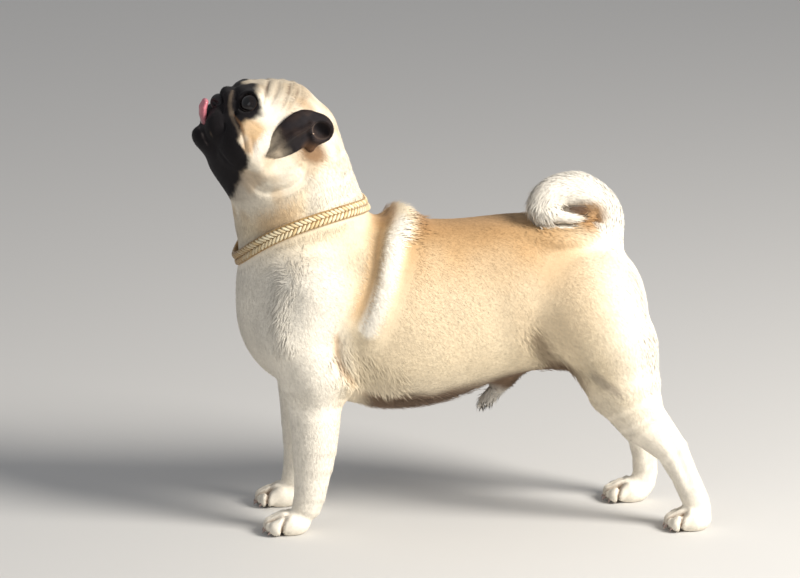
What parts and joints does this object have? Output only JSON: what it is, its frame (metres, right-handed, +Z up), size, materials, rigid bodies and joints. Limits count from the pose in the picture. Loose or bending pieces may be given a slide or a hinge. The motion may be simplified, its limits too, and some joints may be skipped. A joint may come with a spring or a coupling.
{
  "type": "pug dog",
  "caption": "Still life-size model of a pug standing with its head raised, its tail curled over its back and a flat braided collar round its neck.",
  "frame": {"origin": "centre of the bounding box, at the floor under the paws", "axes": "-X the way the dog faces, +Y its right side, +Z up"},
  "size_m": [0.4926, 0.17, 0.429],
  "materials": {
    "coat_fawn": "short soft fawn fur",
    "coat_cream": "short soft cream fur",
    "coat_black": "black velvety fur",
    "eye": "wet, very glossy",
    "nose": "moist, pebbled",
    "tongue": "moist",
    "braid": "satin braided cord"
  },
  "bodies": {
    "root": {"head": "coat_fawn", "neck": "coat_fawn", "torso": "coat_fawn", "thigh_left": "coat_fawn", "thigh_right": "coat_fawn", "foreleg_left": "coat_cream", "foreleg_right": "coat_cream", "forepaw_left": "coat_cream", "forepaw_right": "coat_cream", "shank_left": "coat_cream", "shank_right": "coat_cream", "hindpaw_left": "coat_cream", "hindpaw_right": "coat_cream", "tail_base": "coat_cream", "tail_curl": "coat_cream", "ear_left": "coat_black", "ear_right": "coat_black", "eye_left": "eye", "eye_right": "eye", "nose": "nose", "tongue": "tongue", "collar": "braid"}
  },
  "joints": []
}
